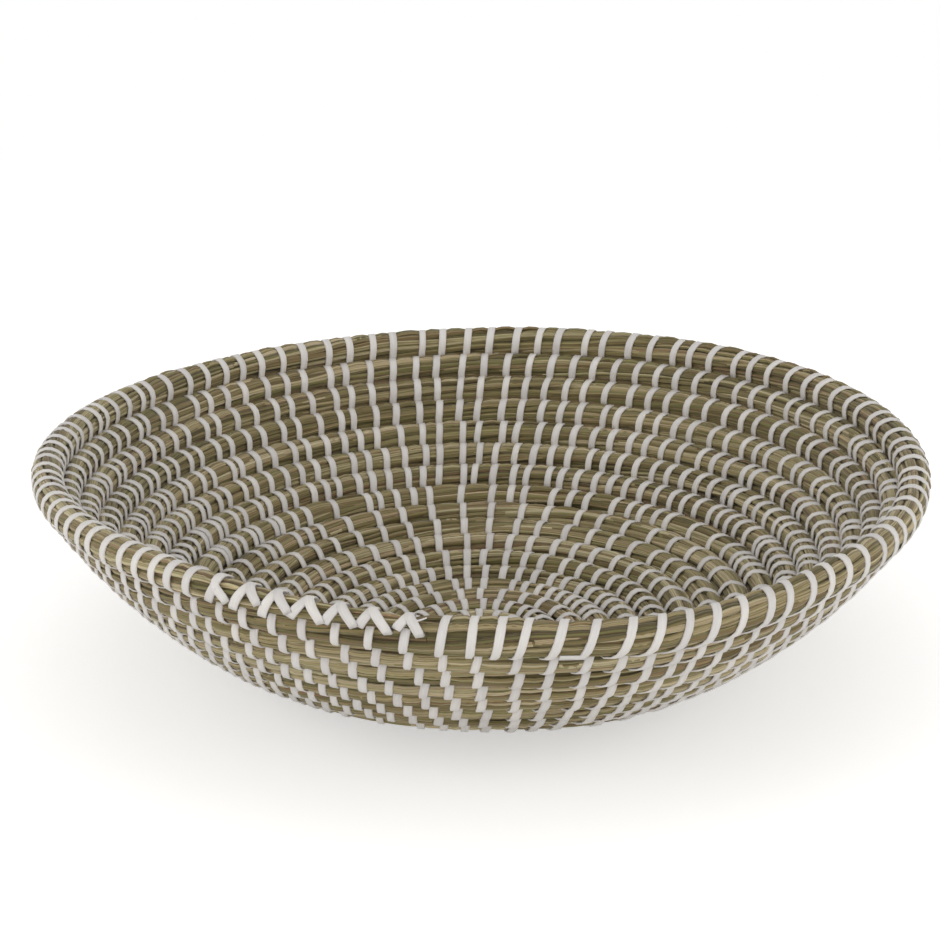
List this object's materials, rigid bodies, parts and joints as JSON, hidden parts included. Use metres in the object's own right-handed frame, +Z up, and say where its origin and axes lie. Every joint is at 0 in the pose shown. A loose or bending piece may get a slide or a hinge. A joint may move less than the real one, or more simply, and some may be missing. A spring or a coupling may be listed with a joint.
{
  "type": "coiled fruit basket",
  "caption": "Shallow round bowl-shaped basket coiled from a seagrass bundle, each row sewn to the one below with white plastic strip.",
  "frame": {"origin": "on the coil's axis, in the plane that the base stands on", "axes": "+Z up out of the bowl along the coil's axis, -Y towards the front, where the coil's tail ends just left of the middle, +X to the right of that view"},
  "size_m": [0.3, 0.2976, 0.0797],
  "materials": {
    "seagrass": "dry, matt to satin stems, olive to straw with brown streaks",
    "white_strip": "satin white"
  },
  "bodies": {
    "root": {"coil_turn_01": "seagrass", "coil_turn_02": "seagrass", "coil_turn_03": "seagrass", "coil_turn_04": "seagrass", "coil_turn_05": "seagrass", "coil_turn_06": "seagrass", "coil_turn_07": "seagrass", "coil_turn_08": "seagrass", "coil_turn_09": "seagrass", "coil_turn_10": "seagrass", "coil_turn_11": "seagrass", "coil_turn_12": "seagrass", "coil_turn_13": "seagrass", "coil_turn_14": "seagrass", "coil_turn_15": "seagrass", "coil_turn_16": "seagrass", "coil_turn_17": "seagrass", "coil_turn_18": "seagrass", "rim_binding_strip": "white_strip", "tail_crossing_strip": "white_strip"}
  },
  "joints": []
}
